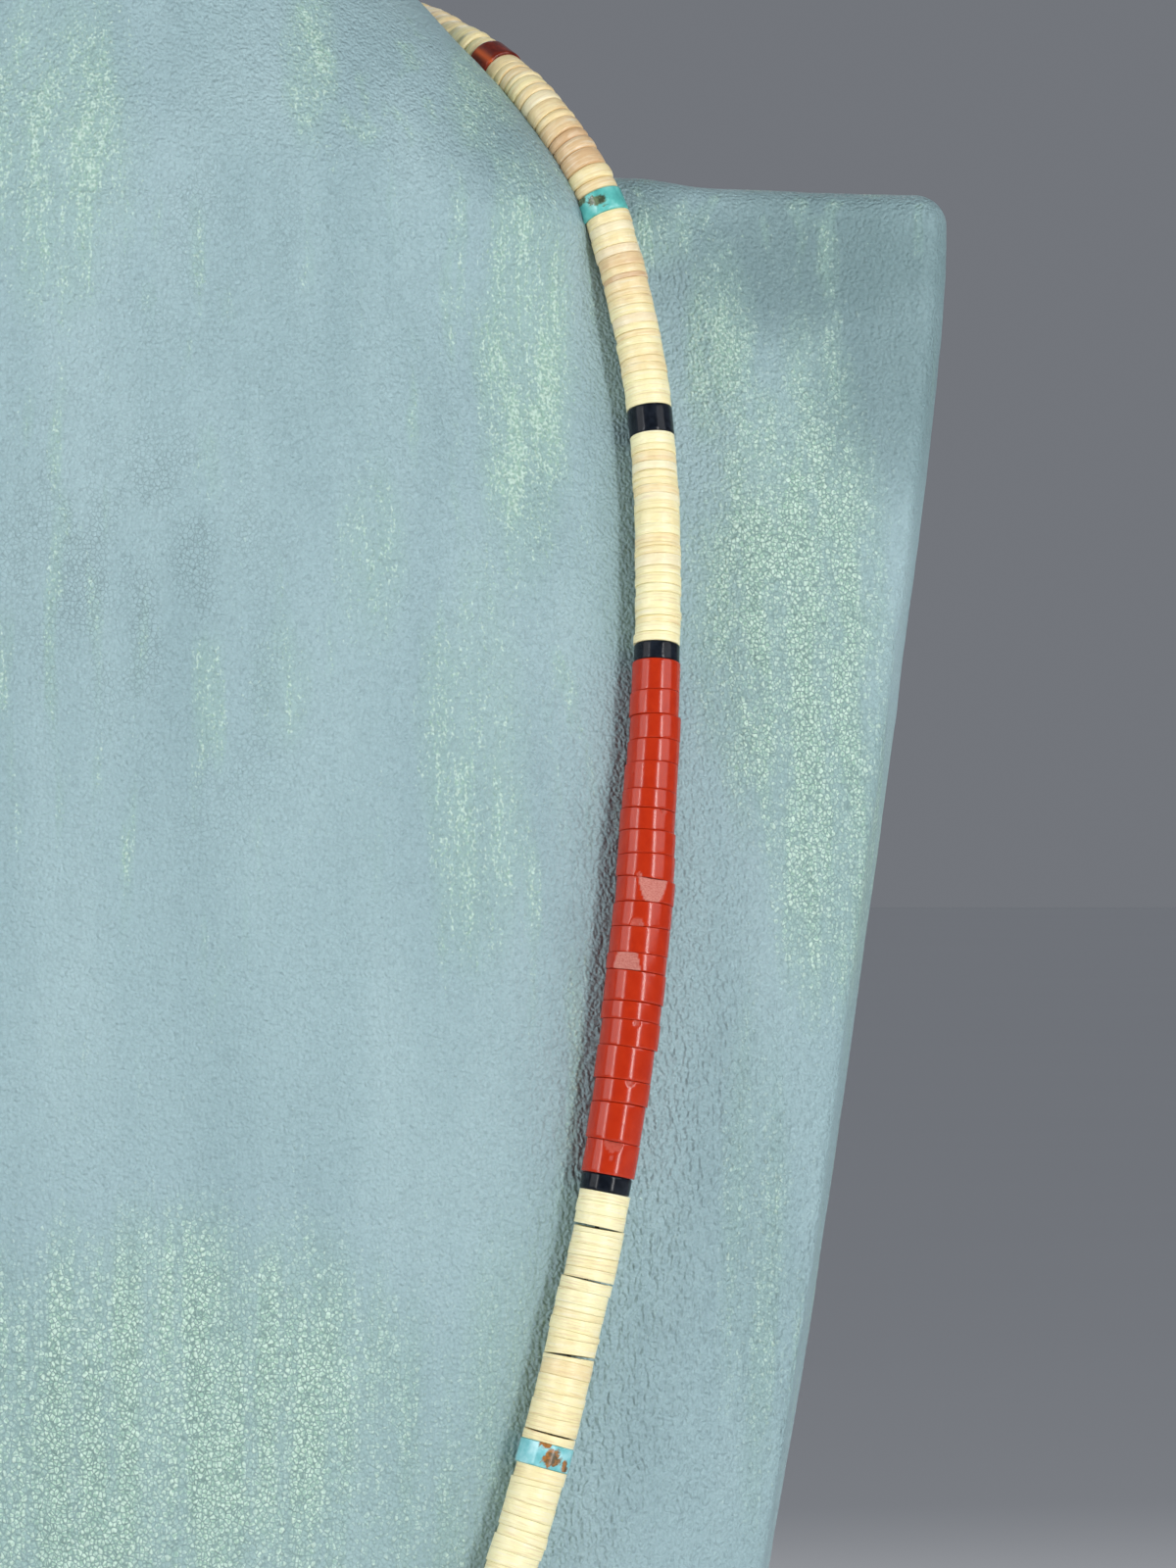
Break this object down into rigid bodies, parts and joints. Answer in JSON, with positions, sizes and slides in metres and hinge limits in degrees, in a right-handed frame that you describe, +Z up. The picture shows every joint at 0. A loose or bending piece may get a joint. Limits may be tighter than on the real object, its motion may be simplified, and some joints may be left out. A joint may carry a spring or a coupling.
{
  "type": "heishi bead necklace on a neck bust",
  "caption": "Long necklace of cream shell heishi with red stone sections and turquoise and black accent beads, shown on a leatherette neck bust.",
  "frame": {"origin": "middle of the footprint, on the surface that the bust stands on", "axes": "+Z up, -Y towards the front of the bust, +X towards the viewer's right"},
  "size_m": [0.212, 0.122, 0.335],
  "materials": {
    "leatherette": "grained, brushed with pale mint",
    "shell": "polished cream shell",
    "red_stone": "polished red stone",
    "dark_red_stone": "polished dark red stone",
    "turquoise": "polished turquoise with brown matrix",
    "jet": "polished black stone",
    "thread": "waxed thread",
    "silver": "plain silver"
  },
  "bodies": {
    "root": {"clasp": "silver", "heishi_chest_left": "shell", "heishi_chest_right": "shell", "heishi_collar_left": "shell", "heishi_collar_right": "shell", "heishi_front": "shell", "heishi_lower_left": "shell", "heishi_lower_right": "shell", "heishi_nape_left": "shell", "heishi_nape_right": "shell", "heishi_shoulder_left": "shell", "heishi_shoulder_right": "shell", "jet_lower_left": "jet", "jet_lower_right": "jet", "jet_middle_left": "jet", "jet_middle_right": "jet", "jet_upper_left": "jet", "jet_upper_right": "jet", "neck_bust": "leatherette", "red_accent_left": "dark_red_stone", "red_accent_right": "dark_red_stone", "red_beads_left": "red_stone", "red_beads_right": "red_stone", "thread": "thread", "turquoise_lower_left": "turquoise", "turquoise_lower_right": "turquoise", "turquoise_upper_left": "turquoise", "turquoise_upper_right": "turquoise"}
  },
  "joints": []
}
